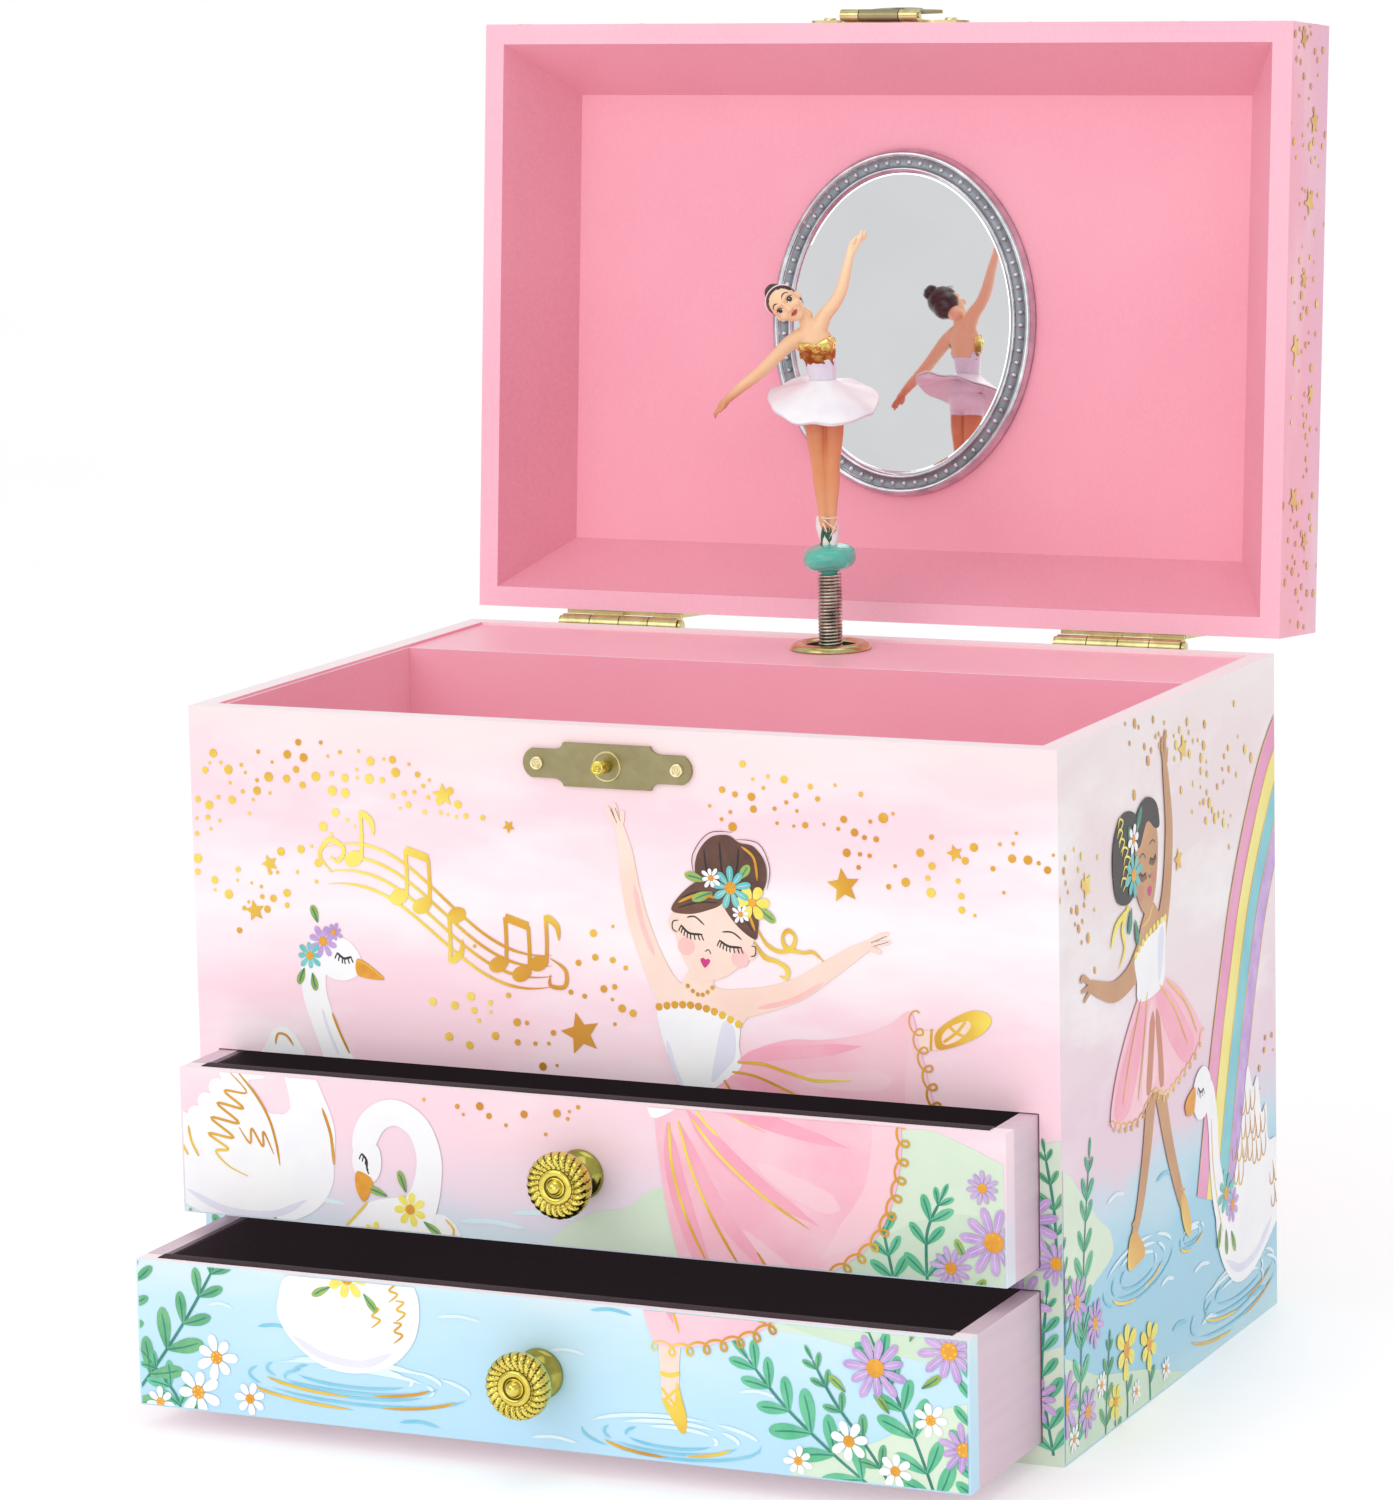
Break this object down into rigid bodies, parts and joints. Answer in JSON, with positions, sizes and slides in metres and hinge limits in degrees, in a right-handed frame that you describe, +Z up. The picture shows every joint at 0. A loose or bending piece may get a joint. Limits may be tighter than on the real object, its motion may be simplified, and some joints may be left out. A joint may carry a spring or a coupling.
{
  "type": "ballerina jewellery box",
  "caption": "Wooden jewellery box with drawers, a mirrored lid and a wind-up musical movement that turns a dancer on a coil spring.",
  "frame": {"origin": "centre of the case's underside, on the surface that the box stands on", "axes": "+Z up, the case's front with its drawers faces -Y, +X to the right of someone facing the front"},
  "size_m": [0.17, 0.1979, 0.2485],
  "materials": {
    "printed_board": "printed paper on fibreboard, satin",
    "pink_paper": "pearl paper, soft sheen",
    "pink_board": "paper-covered fibreboard",
    "drawer_board": "pale mauve paper on board",
    "dark_paper": "dark plum paper, matt",
    "brass": "polished plate",
    "steel": "bright drawn wire and turned steel",
    "chrome": "bright plate",
    "mirror": "silvered glass",
    "movement_plate": "cast and satin",
    "teal_plastic": "gloss",
    "figure_plastic": "painted, satin",
    "white_plastic": "painted white, gloss"
  },
  "bodies": {
    "case": {"base_panel": "printed_board", "left_side": "printed_board", "right_side": "printed_board", "back_panel": "printed_board", "front_panel": "printed_board", "drawer_divider": "printed_board", "tray_floor": "pink_board", "movement_partition": "pink_board", "movement_deck": "pink_board", "tray_lining": "pink_paper", "grommet": "brass", "lock_plate": "brass", "lock_stud": "brass", "lock_nails": "brass", "hinge_case_leaves": "brass", "hinge_pins": "brass", "hinge_case_screws": "brass", "bedplate": "movement_plate", "movement_screws": "steel", "front_plate": "movement_plate", "comb": "steel", "comb_screws": "brass", "clutch_spring": "steel"},
    "lid": {"lid_top": "printed_board", "lid_front_wall": "printed_board", "lid_rear_wall": "printed_board", "lid_left_wall": "printed_board", "lid_right_wall": "printed_board", "lid_liner": "pink_paper", "mirror_frame": "chrome", "mirror_glass": "mirror", "hinge_lid_leaves": "brass", "hinge_lid_screws": "brass", "hasp_plate": "brass", "hasp_pin": "brass", "hasp_nails": "brass"},
    "hasp": {"hasp_tab": "brass"},
    "upper_drawer": {"upper_drawer_front": "printed_board", "upper_drawer_box": "drawer_board", "upper_drawer_lining": "dark_paper", "upper_knob": "brass", "upper_knob_screw": "steel"},
    "lower_drawer": {"lower_drawer_front": "printed_board", "lower_drawer_box": "drawer_board", "lower_drawer_lining": "dark_paper", "lower_knob": "brass", "lower_knob_screw": "steel"},
    "spring": {"coil_spring": "steel"},
    "dancer": {"button": "teal_plastic", "figure": "figure_plastic", "tutu": "white_plastic"},
    "cylinder": {"pinned_cylinder": "brass"},
    "barrel": {"spring_barrel": "brass", "barrel_cover": "brass", "mainspring": "steel"},
    "winding": {"winding_arbor": "steel", "winding_key": "brass"},
    "idler": {"governor_idler": "brass"},
    "fly": {"governor_fly": "brass"},
    "stop": {"stop_wire": "steel"}
  },
  "joints": [
    {"name": "lid_hinge", "type": "hinge", "parent": "case", "child": "lid", "pos_m": [0, 0.0611, 0.1268], "axis": [1, 0, 0], "range_deg": [0, 94.9]},
    {"name": "hasp_hinge", "type": "hinge", "parent": "lid", "child": "hasp", "pos_m": [0, 0.07344, 0.24729], "axis": [1, 0, 0], "range_deg": [0, 172]},
    {"name": "upper_drawer_slide", "type": "slide", "parent": "case", "child": "upper_drawer", "axis": [0, -1, 0], "range_m": [-0.0154, 0.0646]},
    {"name": "lower_drawer_slide", "type": "slide", "parent": "case", "child": "lower_drawer", "axis": [0, -1, 0], "range_m": [-0.0336, 0.0464]},
    {"name": "key_wind", "type": "hinge", "parent": "case", "child": "winding", "pos_m": [0, 0.058, 0.081], "axis": [0, 1, 0], "continuous": true},
    {"name": "cylinder_spin", "type": "hinge", "parent": "case", "child": "cylinder", "pos_m": [0, 0.0434, 0.1], "axis": [0, 0, 1], "continuous": true},
    {"name": "spring_bend", "type": "hinge", "parent": "case", "child": "spring", "pos_m": [0, 0.0434, 0.1345], "axis": [1, 0, 0], "range_deg": [0, 100], "deforming": ["coil_spring"]},
    {"name": "dancer_spin", "type": "hinge", "parent": "spring", "child": "dancer", "pos_m": [0, 0.0434, 0.1418], "axis": [0, 0, 1], "continuous": true},
    {"name": "barrel_spin", "type": "hinge", "parent": "case", "child": "barrel", "pos_m": [0, 0.034, 0.081], "axis": [0, 1, 0], "continuous": true},
    {"name": "idler_spin", "type": "hinge", "parent": "case", "child": "idler", "pos_m": [-0.0099, 0.0434, 0.095], "axis": [0, 0, 1], "continuous": true},
    {"name": "fly_spin", "type": "hinge", "parent": "case", "child": "fly", "pos_m": [-0.01615, 0.0434, 0.0938], "axis": [0, 1, 0], "continuous": true},
    {"name": "stop_press", "type": "slide", "parent": "case", "child": "stop", "axis": [0, 0, -1], "range_m": [0, 0.0024]}
  ],
  "couplings": [
    {"joint": "spring_bend", "follows": "lid_hinge", "ratio": 1.0537},
    {"joint": "stop_press", "follows": "lid_hinge", "m_per_rad": 0.001448},
    {"joint": "dancer_spin", "follows": "cylinder_spin", "ratio": 1},
    {"joint": "barrel_spin", "follows": "cylinder_spin", "ratio": 0.33333},
    {"joint": "idler_spin", "follows": "cylinder_spin", "ratio": -3.4},
    {"joint": "fly_spin", "follows": "cylinder_spin", "ratio": -68}
  ]
}
